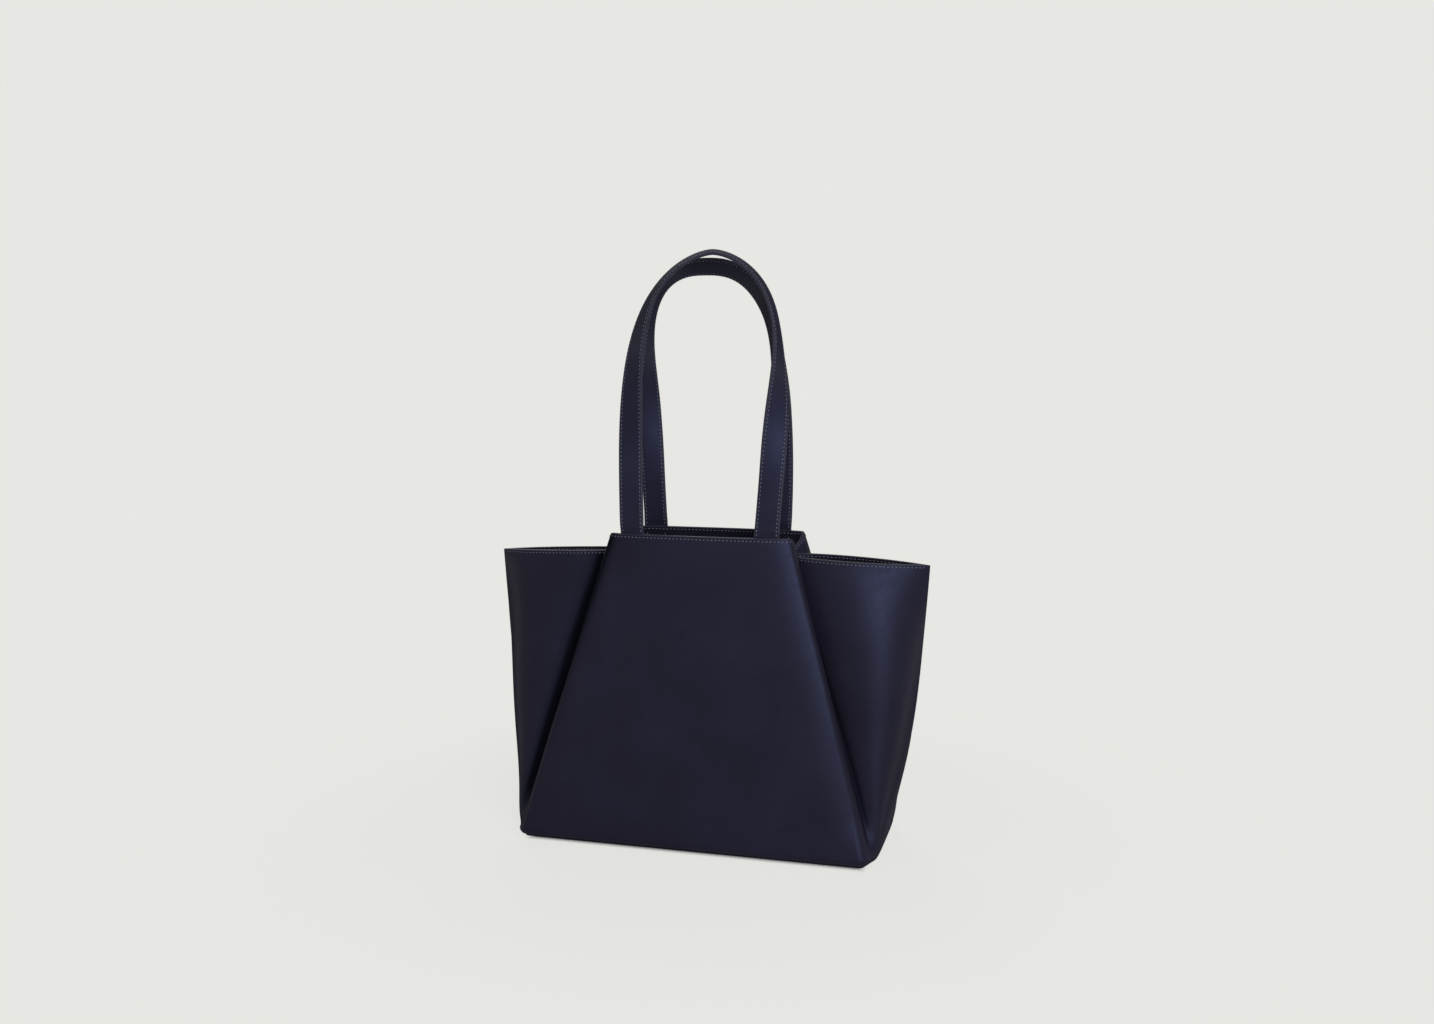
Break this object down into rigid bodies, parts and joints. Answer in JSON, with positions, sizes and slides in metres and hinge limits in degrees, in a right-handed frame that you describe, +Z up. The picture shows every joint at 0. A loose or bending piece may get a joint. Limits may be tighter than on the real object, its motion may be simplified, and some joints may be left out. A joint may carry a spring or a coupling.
{
  "type": "tote bag",
  "caption": "Structured leather tote bag with a tapering front, folded side wings, an open top, metal base feet and two upright strap handles.",
  "frame": {"origin": "on the floor under the middle of the base, at the underside of the feet", "axes": "+Z up, +X towards the bag's right wing seen from the front, the front panel faces -Y"},
  "size_m": [0.4296, 0.1522, 0.5699],
  "materials": {
    "shell_leather": "smooth blue-black grain leather with a soft sheen",
    "facing_leather": "smooth dark leather, satin",
    "base_leather": "smooth dark leather, satin",
    "handle_leather": "smooth blue-black leather, satin, painted edges",
    "stiffener_board": "matt bonded sheet",
    "lining_cloth": "matt black woven cloth",
    "foot_metal": "polished metal"
  },
  "bodies": {
    "bag_body": {"front_shell": "shell_leather", "rear_shell": "shell_leather", "front_facing": "facing_leather", "rear_facing": "facing_leather", "front_stiffener": "stiffener_board", "rear_stiffener": "stiffener_board", "front_lining": "lining_cloth", "rear_lining": "lining_cloth", "slip_pocket": "facing_leather", "base_panel": "base_leather", "base_board": "stiffener_board", "base_lining": "lining_cloth", "foot_front_left": "foot_metal", "foot_front_right": "foot_metal", "foot_rear_left": "foot_metal", "foot_rear_right": "foot_metal", "foot_washer_front_left": "foot_metal", "foot_washer_front_right": "foot_metal", "foot_washer_rear_left": "foot_metal", "foot_washer_rear_right": "foot_metal", "front_handle_left_tab": "handle_leather", "front_handle_right_tab": "handle_leather", "rear_handle_left_tab": "handle_leather", "rear_handle_right_tab": "handle_leather"},
    "front_handle_body": {"front_handle": "handle_leather", "front_handle_backing": "handle_leather"},
    "rear_handle_body": {"rear_handle": "handle_leather", "rear_handle_backing": "handle_leather"}
  },
  "joints": [
    {"name": "front_handle_swing", "type": "hinge", "parent": "bag_body", "child": "front_handle_body", "pos_m": [0, -0.0374, 0.3045], "axis": [1, 0, 0], "range_deg": [0, 165]},
    {"name": "rear_handle_swing", "type": "hinge", "parent": "bag_body", "child": "rear_handle_body", "pos_m": [0, 0.0375, 0.3045], "axis": [-1, 0, 0], "range_deg": [0, 165]}
  ]
}
